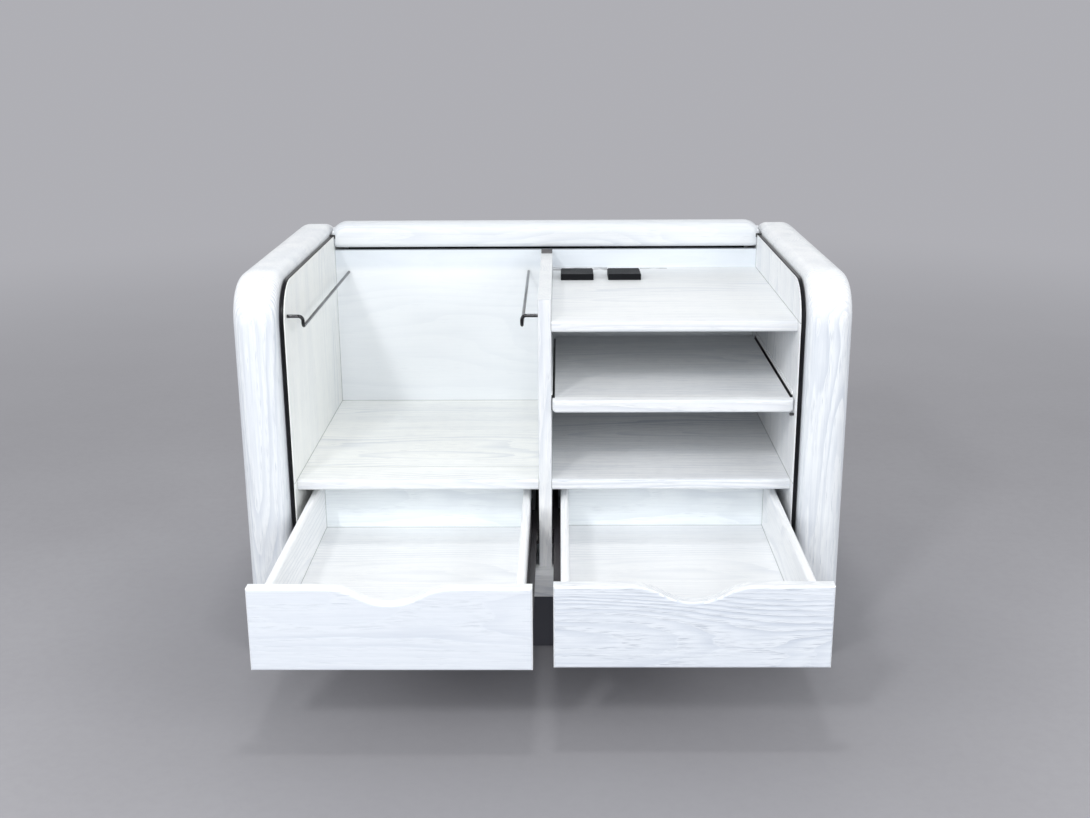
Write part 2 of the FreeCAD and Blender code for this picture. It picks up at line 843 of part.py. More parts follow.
def drawer_side(label, x, box_y, inner_at_right):
    """A side of the drawer box, eased along its top and grooved for the floor."""
    size = (S.box_side_thick, S.box_long, S.box_side_tall)
    body = board(label, (x, box_y, box_under), size, "YZ",
                 lambda m, way: near(m.z, S.box_side_tall) and along(way, 1))
    start = S.box_side_thick - S.box_groove if inner_at_right else ZERO
    groove = new_sketch(body, "YZ_Plane", "groove", start)
    low = floor_z - box_under - groove_slack
    high = low + S.box_floor_thick + 2 * groove_slack
    outline(groove, [(0, low), (S.box_long, low), (S.box_long, high), (0, high)])
    pocket(body, groove, S.box_groove, "floor_groove", backwards=True)
    return keep(body, label)


flange_under = S.channel_floor + S.roller_gap * 2 + S.roller_radius * 2
leg_under = S.channel_floor + S.rail_leg_low
roller_z = S.channel_floor + S.roller_gap + S.roller_radius
front_roller_y = shelf_front + S.front_roller_setback
channel_y = shelf_front + S.channel_setback


def pin(name, x, y, long):
    """A roller pin along X."""
    rod = doc.addObject("Part::Cylinder", name)
    bind(rod, "Radius", S.pin_radius)
    bind(rod, "Height", long)
    place(rod, x, y, roller_z, Rotation(Vector(0, 1, 0), 90))
    return rod


def roller(name, x, y):
    """A nylon roller: a tread, and a hub of the same width round its bore, joined by a web."""
    body = new_body(name, x, y, roller_z)
    sketch = new_sketch(body, "XZ_Plane", "section")
    recess = S.roller_wide / 5
    hub, tread = S.roller_bore + 1.6, S.roller_radius - 2.2
    far = S.roller_wide - recess
    outline(sketch, [
        (0, S.roller_bore),
        (S.roller_wide, S.roller_bore),
        (S.roller_wide, hub),
        (far, hub),
        (far, tread),
        (S.roller_wide, tread),
        (S.roller_wide, S.roller_radius),
        (0, S.roller_radius),
        (0, tread),
        (recess, tread),
        (recess, hub),
        (0, hub),
    ])
    spin = body.newObject("PartDesign::Revolution", f"{name}_spin")
    spin.Profile = sketch
    spin.ReferenceAxis = (sketch, ["H_Axis"])
    spin.Angle = 360
    return body


def cabinet_channel(name, wall_x, opens_right):
    low, high = S.channel_low_flange, S.channel_high_flange
    t, tall = S.steel, S.channel_tall
    corners = [(ZERO, ZERO), (low, ZERO), (low, t), (t, t), (t, tall + t), (high, tall + t),
               (high, tall + t * 2), (ZERO, tall + t * 2)]
    x = wall_x if opens_right else wall_x - low
    return profile_bar(name, x, channel_y, S.channel_floor - t, corners, S.channel_long,
                       None if opens_right else low)


def drawer_rail(name, side_x, box_y, reaches_left):
    """The drawer half of a runner: a leg on the box side and a flange over the rollers."""
    reach, t, tall = S.rail_reach, S.steel, S.rail_leg_tall
    foot = flange_under - leg_under
    corners = [(reach, ZERO), (reach, tall), (reach - t, tall), (reach - t, foot + t),
               (ZERO, foot + t), (ZERO, foot), (reach - t, foot), (reach - t, ZERO)]
    x = side_x - reach if reaches_left else side_x
    return profile_bar(name, x, box_y + 1, leg_under, corners, S.box_long - 4,
                       None if reaches_left else reach)


def drawer(side, opening, bay_left, bay_right, front_left, front_right):
    """One drawer, pulled out by its opening, with its runners and rollers."""
    name = f"{side}_drawer"
    front_y = front_closed - opening
    box_y = front_y + S.front_thick
    rear_roller_y = box_y + S.box_long - S.rear_roller_setback
    box_x = bay_left + S.runner_gap
    box_wide = bay_right - bay_left - S.runner_gap * 2
    inner_wide = box_wide - S.box_side_thick * 2
    far_side = box_x + box_wide - S.box_side_thick
    drawer_front(f"{name}_front", front_left, front_y, front_right - front_left, box_x,
                 box_wide)
    drawer_side(f"{name}_left_side", box_x, box_y, True)
    drawer_side(f"{name}_right_side", far_side, box_y, False)
    keep(board(f"{name}_back",
               (box_x + S.box_side_thick, box_y + S.box_long - S.box_side_thick,
                floor_z + S.box_floor_thick),
               (inner_wide, S.box_side_thick, S.box_floor - S.box_back_drop), "XZ",
               lambda m, way: near(m.z, S.box_floor - S.box_back_drop) and along(way, 0)),
         f"{name}_back")
    tuck = S.box_groove - groove_slack
    keep(board(f"{name}_floor",
               (box_x + S.box_side_thick - tuck, box_y - tuck, floor_z),
               (inner_wide + tuck * 2, S.box_long + tuck, S.box_floor_thick), "XY"),
         f"{name}_floor")
    left_roller_x = bay_left + S.roller_out
    right_roller_x = bay_right - S.roller_out - S.roller_wide
    rear_pin_long = S.runner_gap - S.steel - S.roller_out - S.pin_short
    front_pin_long = S.roller_out + S.roller_wide - S.steel + S.pin_short
    group(f"{name}_rails", [
        drawer_rail(f"{name}_rail_left", box_x, box_y, True),
        drawer_rail(f"{name}_rail_right", box_x + box_wide, box_y, False),
        pin(f"{name}_rear_pin_left", box_x - S.steel - rear_pin_long, rear_roller_y,
            rear_pin_long),
        pin(f"{name}_rear_pin_right", box_x + box_wide + S.steel, rear_roller_y,
            rear_pin_long),
    ])
    group(f"{name}_rear_rollers", [
        roller(f"{name}_rear_roller_left", left_roller_x, rear_roller_y),
        roller(f"{name}_rear_roller_right", right_roller_x, rear_roller_y),
    ])
    group(f"{side}_cabinet_runners", [
        cabinet_channel(f"{side}_channel_left", bay_left, True),
        cabinet_channel(f"{side}_channel_right", bay_right, False),
        pin(f"{side}_front_pin_left", bay_left + S.steel, front_roller_y, front_pin_long),
        pin(f"{side}_front_pin_right", bay_right - S.steel - front_pin_long, front_roller_y,
            front_pin_long),
    ])
    group(f"{side}_cabinet_rollers", [
        roller(f"{side}_front_roller_left", left_roller_x, front_roller_y),
        roller(f"{side}_front_roller_right", right_roller_x, front_roller_y),
    ])


drawer("left", S.left_drawer_open, -wall_face, divider_x,
       -panel_face + S.front_side_gap, divider_x - S.front_mid_gap)
drawer("right", S.right_drawer_open, divider_right, wall_face,
       divider_right + S.front_mid_gap, panel_face - S.front_side_gap)


# The curtain: a lead bar on glide shoes, and slats that follow the tracks round the back.

bar_y = rear_bend_y - S.bar_park - S.bar_deep


def curtain_bar():
    """The lead bar: its ends pass over the tracks and its lower part fits between the walls."""
    body = new_body("curtain_bar", -S.bar_half, bar_y, S.bar_under)
    wide, tall = S.bar_half * 2, S.bar_top - S.bar_under
    sketch = new_sketch(body, "XZ_Plane", "outline")
    outline(sketch, [
        (0, 0),
        (wide, 0),
        (wide, tall, S.bar_end_round),
        (0, tall, S.bar_end_round),
    ])
    slab = pad(body, sketch, S.bar_deep, backwards=True)
    rounded = fillet(body, slab, S.bar_long_round,
                     lambda m, way: m.z > 1 and (near(m.y, 0) or near(m.y, S.bar_deep)),
                     "top_round")
    fillet(body, rounded, S.bar_under_round,
           lambda m, way: near(m.z, 0) and near(m.y, 0), "under_round")
    step = S.bar_step - S.bar_under
    slot_low = S.bar_slot_low - S.bar_under
    inset = S.bar_half - S.bar_low_half
    for end, start, way in (("left", ZERO, 1), ("right", wide, -1)):
        cut = new_sketch(body, "XZ_Plane", f"{end}_step")
        outline(cut, [
            (start, 0),
            (start + inset * way, 0),
            (start + inset * way, slot_low),
            (start + (inset + S.bar_slot_deep) * way, slot_low),
            (start + (inset + S.bar_slot_deep) * way, step),
            (start, step),
        ])
        pocket(body, cut, S.bar_deep, f"{end}_cut")
    return keep(body, "curtain_bar")


curtain_bar()

shoe_under = S.bar_slot_low + S.shoe_play
shoe_plate = track_top + S.roller_gap - shoe_under
shoe_top = S.bar_step - S.roller_gap / 2 - shoe_under
shoe_wide = S.bar_half - S.bar_low_half + S.bar_slot_deep - S.shoe_play


def glide_shoe(name, x, y, mirrored):
    """A shoe that rides on a track, with a keel in its groove and a skirt in the bar's slot."""
    skirt = shoe_wide - S.shoe_skirt
    corners = [(ZERO, ZERO), (S.shoe_keel, ZERO), (S.shoe_keel, shoe_plate),
               (skirt, shoe_plate), (skirt, ZERO), (shoe_wide, ZERO), (shoe_wide, shoe_top),
               (ZERO, shoe_top)]
    return profile_bar(name, x, y, shoe_under, corners, S.shoe_long,
                       shoe_wide if mirrored else None)


right_shoe_x = S.bar_half - shoe_wide
front_shoe_y = bar_y + S.shoe_setback
rear_shoe_y = bar_y + S.bar_deep - S.shoe_long - S.shoe_setback
group("bar_shoes", [
    glide_shoe("shoe_left_front", -S.bar_half, front_shoe_y, False),
    glide_shoe("shoe_left_rear", -S.bar_half, rear_shoe_y, False),
    glide_shoe("shoe_right_front", right_shoe_x, front_shoe_y, True),
    glide_shoe("shoe_right_rear", right_shoe_x, rear_shoe_y, True),
])


def one_slat():
    """A slat lying flat: eased on its outer edges, with a tongue under each end."""
    body = new_body("slat_pattern", 0, 0, 0)
    wide = S.slat_half * 2
    face = outline(new_sketch(body, "YZ_Plane", "section"), [
        (0, S.tongue_deep),
        (S.slat_wide, S.tongue_deep),
        (S.slat_wide, S.tongue_deep + S.slat_thick, S.slat_round),
        (0, S.tongue_deep + S.slat_thick, S.slat_round),
    ])
    pad(body, face, wide, "plank")
    first = (S.slat_wide - S.tongue_long) / 2
    for end, lift in (("left", ZERO), ("right", wide - S.tongue_wide)):
        tongue = outline(new_sketch(body, "YZ_Plane", f"{end}_tongue", lift), [
            (first, 0),
            (first + S.tongue_long, 0),
            (first + S.tongue_long, S.tongue_deep),
            (first, S.tongue_deep),
        ])
        pad(body, tongue, S.tongue_wide, f"{end}_tongue_pad")
    doc.recompute()
    return body


def curtain_place(travel, radius):
    """Where the curtain's inner face is after a length of travel, and how far it has turned."""
    arc = math.pi / 2 * radius
    y, top, low = rear_bend_y.value, rear_bend_z.value, low_bend_z.value
    rear_run = top - low
    if travel < 0:
        return y + travel, top + radius, 0.0
    if travel < arc:
        turn = travel / radius
        return y + radius * math.sin(turn), top + radius * math.cos(turn), turn
    travel -= arc
    if travel < rear_run:
        return y + radius, top - travel, math.pi / 2
    travel -= rear_run
    if travel < arc:
        turn = math.pi / 2 + travel / radius
        return y + radius * math.sin(turn), low + radius * math.cos(turn), turn
    return y - (travel - arc), low - radius, math.pi


def curtain_slats():
    """All the slats of the open curtain, side by side from the lead bar round the back."""
    pattern = one_slat()
    lay_flat = FreeCAD.Matrix()
    lay_flat.move(Vector(-S.slat_half.value, -S.slat_wide.value / 2, -S.tongue_deep.value))
    radius = S.rear_bend.value + S.slat_gap.value
    solids = []
    for number in range(int(S.slat_count.value)):
        travel = (number + 0.5) * S.slat_pitch.value - S.bar_park.value
        y, z, turn = curtain_place(travel, radius)
        slat = pattern.Shape.copy()
        slat.transformShape(lay_flat)
        turned = Placement(Vector(0, y, z), Rotation(Vector(1, 0, 0), -math.degrees(turn)))
        slat.transformShape(turned.toMatrix())
        solids.append(slat.Solids[0])
    slats = doc.addObject("Part::Feature", "curtain_slats")
    slats.Shape = Part.makeCompound(solids)
    return keep(slats, "curtain_slats")


def curtain_cloth():
    """The cloth glued behind the slats, which is what lets the curtain bend."""
    body = new_body("curtain_cloth", -S.cloth_half, 0, 0)
    play = 0.1
    middle = S.rear_bend + S.slat_gap - play - S.cloth_thick / 2
    rear = rear_bend_y + middle
    low = low_bend_z - middle
    start = rear_bend_y - S.bar_park + play
    path = new_sketch(body, "YZ_Plane", "path")
    outline(path, [
        (start, rear_bend_z + middle),
        (rear, rear_bend_z + middle, middle),
        (rear, low, middle),
        (S.track_end + 20, low),
    ], closed=False)
    section = new_sketch(body, "XZ_Plane", "section", -start)
    edge = rear_bend_z + middle - S.cloth_thick / 2
    wide = S.cloth_half * 2
    outline(section, [(0, edge), (wide, edge), (wide, edge + S.cloth_thick),
                      (0, edge + S.cloth_thick)])
    doc.recompute()
    sweep = body.newObject("PartDesign::AdditivePipe", "curtain_cloth_sweep")
    sweep.Profile = section
    sweep.Spine = (path, [f"Edge{i}" for i in range(1, len(path.Shape.Edges) + 1)])
    return keep(body, "curtain_cloth")


curtain_slats()
curtain_cloth()


doc.recompute()
failed = [o.Name for o in doc.Objects if "Invalid" in o.State or "Error" in o.State]
if failed:
    raise RuntimeError(f"features that failed: {failed}")
for item in parts:
    if item.Shape.isNull() or not item.Shape.isValid():
        raise RuntimeError(f"{item.Label} has no valid shape")
os.makedirs("parts", exist_ok=True)
for item in parts:
    item.Shape.exportStep(f"parts/{item.Label}.step")
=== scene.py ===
import math

import bpy
from mathutils import Matrix, Vector


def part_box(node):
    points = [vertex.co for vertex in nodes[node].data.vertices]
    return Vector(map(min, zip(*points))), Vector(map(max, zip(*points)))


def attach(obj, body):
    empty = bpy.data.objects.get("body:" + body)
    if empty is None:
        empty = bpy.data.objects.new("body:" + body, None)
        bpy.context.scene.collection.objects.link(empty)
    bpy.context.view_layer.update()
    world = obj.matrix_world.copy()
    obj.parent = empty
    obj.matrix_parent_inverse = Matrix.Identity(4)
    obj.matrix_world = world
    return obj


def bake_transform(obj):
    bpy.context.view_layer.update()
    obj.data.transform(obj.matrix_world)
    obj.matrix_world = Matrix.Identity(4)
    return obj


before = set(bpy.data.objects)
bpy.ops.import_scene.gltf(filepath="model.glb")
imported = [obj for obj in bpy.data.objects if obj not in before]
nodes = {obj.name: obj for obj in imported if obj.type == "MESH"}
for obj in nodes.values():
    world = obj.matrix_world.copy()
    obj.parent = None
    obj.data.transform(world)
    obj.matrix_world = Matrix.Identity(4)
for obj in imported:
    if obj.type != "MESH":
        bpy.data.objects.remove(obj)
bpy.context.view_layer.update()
MM = 0.001


# ---------------------------------------------------------------- node trees

def new_group(name, inputs, outputs):
    """A shader node group with named inputs (name, kind, value) and outputs (name, kind)."""
    tree = bpy.data.node_groups.new(name, "ShaderNodeTree")
    for label, kind, value in inputs:
        socket = tree.interface.new_socket(label, in_out="INPUT",
                                           socket_type=f"NodeSocket{kind}")
        if value is not None:
            socket.default_value = value
    for label, kind in outputs:
        tree.interface.new_socket(label, in_out="OUTPUT", socket_type=f"NodeSocket{kind}")
    return tree, tree.nodes.new("NodeGroupInput"), tree.nodes.new("NodeGroupOutput")


def connect(tree, socket, value):
    """Feeds a socket with another node's output, or sets its plain value."""
    if isinstance(value, bpy.types.NodeSocket):
        tree.links.new(value, socket)
    else:
        socket.default_value = value


def calc(tree, operation, a, b=None, c=None):
    """The result of a Math node on values or other nodes' outputs."""
    node = tree.nodes.new("ShaderNodeMath")
    node.operation = operation
    for socket, value in zip(node.inputs, (a, b, c)):
        if value is not None:
            connect(tree, socket, value)
    return node.outputs[0]


def stretched(tree, vector, repeats):
    """A vector multiplied axis by axis, which squeezes what is drawn on it."""
    node = tree.nodes.new("ShaderNodeVectorMath")
    node.operation = "MULTIPLY"
    tree.links.new(vector, node.inputs[0])
    node.inputs[1].default_value = repeats
    return node.outputs["Vector"]


def distance(tree, vector, point):
    """How far a place is from a point."""
    node = tree.nodes.new("ShaderNodeVectorMath")
    node.operation = "DISTANCE"
    tree.links.new(vector, node.inputs[0])
    node.inputs[1].default_value = point
    return node.outputs["Value"]


def coordinate(tree, vector, axis):
    """One axis of a vector."""
    node = tree.nodes.new("ShaderNodeSeparateXYZ")
    tree.links.new(vector, node.inputs[0])
    return node.outputs[axis]


def noise(tree, vector, detail, roughness, scale=1.0):
    """Smooth noise between 0 and 1, with its blots 1 / scale apart."""
    node = tree.nodes.new("ShaderNodeTexNoise")
    connect(tree, node.inputs["Vector"], vector)
    node.inputs["Scale"].default_value = scale
    node.inputs["Detail"].default_value = detail
    node.inputs["Roughness"].default_value = roughness
    return node.outputs["Fac"]


def ramp(tree, value, low, high, to_low=0.0, to_high=1.0):
    """Maps low..high onto to_low..to_high with a soft start and end."""
    node = tree.nodes.new("ShaderNodeMapRange")
    node.interpolation_type = "SMOOTHSTEP"
    for socket, v in zip(node.inputs, (value, low, high, to_low, to_high)):
        connect(tree, socket, v)
    return node.outputs["Result"]


def mix(tree, share, a, b):
    """Colour a, with a share of colour b in it."""
    node = tree.nodes.new("ShaderNodeMix")
    node.data_type = "RGBA"
    connect(tree, node.inputs["Factor"], share)
    connect(tree, node.inputs["A"], a)
    connect(tree, node.inputs["B"], b)
    return node.outputs["Result"]


def colour(red, green, blue):
    """An opaque colour from its linear parts."""
    return (red, green, blue, 1.0)


def place_group(tree, group, **values):
    """A group node with its named inputs set or fed."""
    node = tree.nodes.new("ShaderNodeGroup")
    node.node_tree = group
    for label, value in values.items():
        connect(tree, node.inputs[label.replace("_", " ").title()], value)
    return node


# ------------------------------------------------------------- shared effects

# How often each pattern in the wood repeats in a metre: along the grain, then across it.
TRUNK_BENDS = (1.7, 9.0, 9.0)
RING_WAVES = (9.0, 60.0, 60.0)
RING_PATCHES = (3.0, 30.0, 30.0)
PORE_STREAKS = (42.0, 1500.0, 1500.0)
STRANDS = (7.0, 330.0, 330.0)
WASH_CLOUDS = (2.2, 7.0, 7.0)
# How far the bends and the waves carry a growth ring from its true radius.
BEND_DEPTH = 75 * MM
WAVE_DEPTH = 4 * MM
# How closely small specks are strewn, and the share of their cells that has one.
CELLS_PER_METRE = 28.0
CELLS_WITH_SPECK = 0.07


def make_ash_grain():
    """Whitewashed ash: growth rings cut by the surface, pores along them, and cloudy wash.

    The vector runs along the grain on its X, with the heart of the tree near Y = Z = 0."""
    tree, given, out = new_group(
        "ash_grain",
        [("Vector", "Vector", None), ("Ring Width", "Float", 4 * MM), ("Strength", "Float", 1.0)],
        [("Line", "Float"), ("Pore", "Float"), ("Fibre", "Float"), ("Cloud", "Float"),
         ("Height", "Float")],
    )
    vector, width, strength = given.outputs[:3]

    def pattern(repeats, detail, roughness=0.5):
        return noise(tree, stretched(tree, vector, repeats), detail, roughness)

    # The distance from the heart, bent and waved, gives the place within a growth ring.
    slow = pattern(TRUNK_BENDS, 1.0)
    wavy = pattern(RING_WAVES, 2.0)
    across = calc(tree, "POWER", coordinate(tree, vector, "Y"), 2.0)
    deep = calc(tree, "POWER", coordinate(tree, vector, "Z"), 2.0)
    radius = calc(tree, "SQRT", calc(tree, "ADD", across, deep))
    radius = calc(tree, "MULTIPLY_ADD", slow, BEND_DEPTH, radius)
    radius = calc(tree, "MULTIPLY_ADD", wavy, WAVE_DEPTH, radius)
    ring = calc(tree, "FRACT", calc(tree, "DIVIDE", radius, width))
    # Late wood darkens towards the ring's end and then stops, and shows only in patches.
    late = calc(tree, "MULTIPLY", ramp(tree, ring, 0.3, 0.9), ramp(tree, ring, 1.0, 0.93))
    shown = ramp(tree, pattern(RING_PATCHES, 2.0), 0.35, 0.68, 0.25, 1.0)
    line = calc(tree, "MULTIPLY", late, shown)
    # Pores are short streaks, most of them in the early wood at the ring's start.
    early = ramp(tree, ring, 0.55, 0.05, 0.25, 1.0)
    pore = calc(tree, "MULTIPLY", ramp(tree, pattern(PORE_STREAKS, 1.0), 0.56, 0.7), early)
    fibre = ramp(tree, pattern(STRANDS, 2.0, 0.6), 0.42, 0.68)
    height = calc(tree, "MULTIPLY_ADD", pore, -0.8, calc(tree, "MULTIPLY", line, -0.5))
    for label, value in (("Line", line), ("Pore", pore), ("Fibre", fibre), ("Height", height)):
        connect(tree, out.inputs[label], calc(tree, "MULTIPLY", value, strength))
    connect(tree, out.inputs["Cloud"], pattern(WASH_CLOUDS, 3.0))
    return tree


def make_handling():
    """Faint smudges, specks and rubbed patches from use, larger and softer than any grain."""
    tree, given, out = new_group(
        "handling",
        [("Vector", "Vector", None), ("Amount", "Float", 1.0)],
        [("Smudge", "Float"), ("Speck", "Float")],
    )
    vector, amount = given.outputs[:2]
    broad = noise(tree, vector, 4.0, 0.6, scale=7.0)
    fine = noise(tree, vector, 3.0, 0.6, scale=60.0)
    smudge = calc(tree, "MULTIPLY", ramp(tree, broad, 0.52, 0.72), ramp(tree, fine, 0.3, 0.75))
    # A speck sits in the middle of a few of the cells.
    cells = tree.nodes.new("ShaderNodeTexVoronoi")
    cells.inputs["Scale"].default_value = CELLS_PER_METRE
    connect(tree, cells.inputs["Vector"], vector)
    chosen = tree.nodes.new("ShaderNodeSeparateColor")
    tree.links.new(cells.outputs["Color"], chosen.inputs[0])
    near_centre = ramp(tree, cells.outputs["Distance"], 0.035, 0.01)
    few = calc(tree, "GREATER_THAN", chosen.outputs[0], 1.0 - CELLS_WITH_SPECK)
    speck = calc(tree, "MULTIPLY", near_centre, few)
    connect(tree, out.inputs["Smudge"], calc(tree, "MULTIPLY", smudge, amount))
    connect(tree, out.inputs["Speck"], calc(tree, "MULTIPLY", speck, amount))
    return tree


ash_grain = make_ash_grain()
handling = make_handling()


# ------------------------------------------------------------------ materials

class Finish:
    """A material under construction: its tree, its shader and its object coordinates."""

    def __init__(self, name):
        self.material = bpy.data.materials.new(name)
        self.material.use_nodes = True
        self.tree = self.material.node_tree
        self.shader = self.tree.nodes["Principled BSDF"]
        self.place = self.tree.nodes.new("ShaderNodeTexCoord").outputs["Object"]

    def turned(self, location, rotation):
        """Object coordinates, turned and then moved."""
        node = self.tree.nodes.new("ShaderNodeMapping")
        node.inputs["Location"].default_value = location
        node.inputs["Rotation"].default_value = rotation
        self.tree.links.new(self.place, node.inputs["Vector"])
        return node.outputs["Vector"]

    def set(self, **values):
        """Sets or feeds the shader's own sockets, named with _ for a space."""
        for label, value in values.items():
            connect(self.tree, self.shader.inputs[label.replace("_", " ")], value)

    def bump(self, height, strength, distance):
        """Raises the surface by a height between 0 and 1, times a distance."""
        node = self.tree.nodes.new("ShaderNodeBump")
        node.inputs["Strength"].default_value = strength
        node.inputs["Distance"].default_value = distance
        connect(self.tree, node.inputs["Height"], height)
        self.tree.links.new(node.outputs["Normal"], self.shader.inputs["Normal"])
        return self


# The white stain's washes are bluer or warmer from board to board, and their brightness
# makes lit and shaded copies of it: painted shade where the lamps light a board strongly,
# painted light where it lies in shade.
OUTSIDE_WASH = colour(0.755, 0.785, 0.815)
# Painted light: the paler wash on the side panels' tops, on the rail between the drawers and on
# the drawer fronts' edges; a plain pale wash on the outer back and the slats.
PALE_AND_PAINTED_LIGHT_WASH = colour(0.930, 0.945, 0.950)
FRONT_WASH = colour(0.700, 0.740, 0.795)
# Painted light: the inside washes are paler to lift the shade in the bays and drawers.
PAINTED_LIGHT_INSIDE_WASH = colour(0.950, 0.960, 0.965)
# Painted light: paler too, with a warm tint, for the left bay's wall and floor.
WARM_PAINTED_LIGHT_WASH = colour(0.945, 0.955, 0.925)
BACK_WASH = colour(0.800, 0.828, 0.850)
# Painted shadow: a darker band on the inner back where the bar shades it.
PAINTED_SHADOW_BACK_WASH = colour(0.680, 0.725, 0.770)
# Painted shade: a darker wash on the front edges, which the lamps light straight on.
PAINTED_SHADE_EDGE_WASH = colour(0.735, 0.752, 0.770)
# Painted shade: darker washes on the lead bar and on the top shelf and divider, lit most.
PAINTED_SHADE_BAR_WASH = colour(0.700, 0.722, 0.745)
PAINTED_SHADE_SHELF_WASH = colour(0.850, 0.868, 0.868)
# Painted light: the drawers' backs are bluer and darker for the light that falls on them.
DRAWER_BACK_PAINTED_LIGHT_WASH = colour(0.840, 0.885, 0.905)
WASH_SHADE = colour(0.66, 0.70, 0.76)
GRAIN_GREY = colour(0.40, 0.45, 0.54)
SPECK_GREY = colour(0.20, 0.20, 0.21)
# Seam lines where boards meet, darkened as painted contact shade.
SEAM_AND_CONTACT_SHADE_GREY = colour(0.25, 0.28, 0.26)
# The turn that brings a board's grain onto X, by the axis along which it runs.
GRAIN_TURN = {
    "x": (0.0, 0.0, 0.0),
    "y": (0.0, 0.0, math.radians(-90)),
    "z": (0.0, math.radians(90), 0.0),
}


# Half the width of the line where two boards meet, a seam darkened as painted contact shade:
# where it is dark and where it has faded.
SEAM_DARK = 0.35 * MM
SEAM_FADED = 0.8 * MM


def seam_and_contact_shade_lines(finish, shaded_seams):
    """Painted contact shade in thin lines on a board, each at a place on an axis, where it meets
    another.
    """
    tree = finish.tree
    mask = 0.0
    for axis, place in shaded_seams:
        here = coordinate(tree, finish.place, axis)
        gap = calc(tree, "ABSOLUTE", calc(tree, "SUBTRACT", here, place))
        mask = calc(tree, "MAXIMUM", ramp(tree, gap, SEAM_FADED, SEAM_DARK), mask)
    return mask


def beyond(finish, axis, low, high):
    """A mask that rises from 0 at one place on an axis to 1 at another."""
    return ramp(finish.tree, coordinate(finish.tree, finish.place, axis), low, high)


def whitewashed_ash(name, along, heart, ring, strength, wash, shaded_seams=(), zones=()):
    """White-stained ash with its grain along an axis and the tree's heart at a place in mm.

    The ring is a growth ring's width in mm, and the strength is how plainly the grain shows.
    Each zone is an axis, the places where its own wash starts and is full, and that wash:
    painted light and shade on part of the board."""
    finish = Finish(name)
    tree = finish.tree
    turn = GRAIN_TURN[along]
    turned_heart = Matrix.Identity(3)
    for angle, axis in zip(turn, "XYZ"):
        turned_heart = Matrix.Rotation(angle, 3, axis) @ turned_heart
    grain_place = finish.turned(-(turned_heart @ (Vector(heart) * MM)), turn)
    grain = place_group(tree, ash_grain, vector=grain_place, ring_width=ring * MM,
                        strength=strength)
    marks = place_group(tree, handling, vector=finish.place, amount=0.5)
    tone = wash
    # Zones of painted light and shade.
    for axis, low, high, other in zones:
        tone = mix(tree, beyond(finish, axis, low, high), tone, other)
    tone = mix(tree, ramp(tree, grain.outputs["Cloud"], 0.35, 0.7, 0.0, 0.14), tone, WASH_SHADE)
    for mask, share, shade in (
        (grain.outputs["Fibre"], 0.15, GRAIN_GREY),
        (grain.outputs["Line"], 0.40, GRAIN_GREY),
        (grain.outputs["Pore"], 0.50, GRAIN_GREY),
        (marks.outputs["Smudge"], 0.10, GRAIN_GREY),
        (marks.outputs["Speck"], 0.60, SPECK_GREY),
    ):
        tone = mix(tree, calc(tree, "MULTIPLY", mask, share), tone, shade)
    # Seams where it meets other boards, darkened as painted contact shade.
    if shaded_seams:
        seam_shade = calc(tree, "MULTIPLY", seam_and_contact_shade_lines(finish, shaded_seams), 0.7)
        tone = mix(tree, seam_shade, tone, SEAM_AND_CONTACT_SHADE_GREY)
    rough = calc(tree, "MULTIPLY_ADD", grain.outputs["Pore"], 0.2,
                 ramp(tree, grain.outputs["Cloud"], 0.3, 0.7, 0.42, 0.54))
    finish.set(Base_Color=tone, Roughness=rough)
    return finish.bump(grain.outputs["Height"], 0.6, 0.5 * MM).material


# How much wider the blots of uneven colour are than the fine grain.
BROAD_TO_FINE = 40


def speckled(name, base, worn, roughness, scale, depth=0.08, metallic=0.0, specular=0.5,
             painted=None):
    """A smooth finish with a fine grain in its gloss and height, and slightly uneven colour.

    The grain's depth is in mm. The part that was painted over is an axis, the places where
    it starts and is full, and its colour."""
    finish = Finish(name)
    tree = finish.tree
    fine = noise(tree, finish.place, 3.0, 0.6, scale=scale)
    broad = noise(tree, finish.place, 3.0, 0.55, scale=scale / BROAD_TO_FINE)
    tone = mix(tree, ramp(tree, broad, 0.35, 0.7), base, worn)
    if painted:
        axis, start, full, paint = painted
        tone = mix(tree, beyond(finish, axis, start, full), tone, paint)
    rough = calc(tree, "ADD", ramp(tree, fine, 0.3, 0.7, -0.05, 0.05),
                 ramp(tree, broad, 0.3, 0.7, roughness - 0.04, roughness + 0.06))
    finish.set(Base_Color=tone, Roughness=rough, Metallic=metallic, Specular_IOR_Level=specular)
    return finish.bump(fine, 0.4, depth * MM).material


def dress(material, *names):
    """Gives CAD nodes a material in all their slots."""
    for name in names:
        mesh = nodes[name].data
        mesh.materials.clear()
        mesh.materials.append(material)


def centre(name):
    """The middle of a CAD node's box in mm."""
    low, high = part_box(name)
    return (low + high) / 2 / MM


def painted_shade_edge_zone(front):
    """The darker wash of a board's front edge, which reaches 3 mm back, as painted shade."""
    return ("Y", front + 3.6 * MM, front + 2.4 * MM, PAINTED_SHADE_EDGE_WASH)


def drawer_face_zone(name):
    """The bluer wash on a drawer front's face and not on its edges, which stay paler as a painted
    highlight.
    """
    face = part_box(name)[0].y
    return ("Y", face + 1.6 * MM, face + 0.4 * MM, FRONT_WASH)


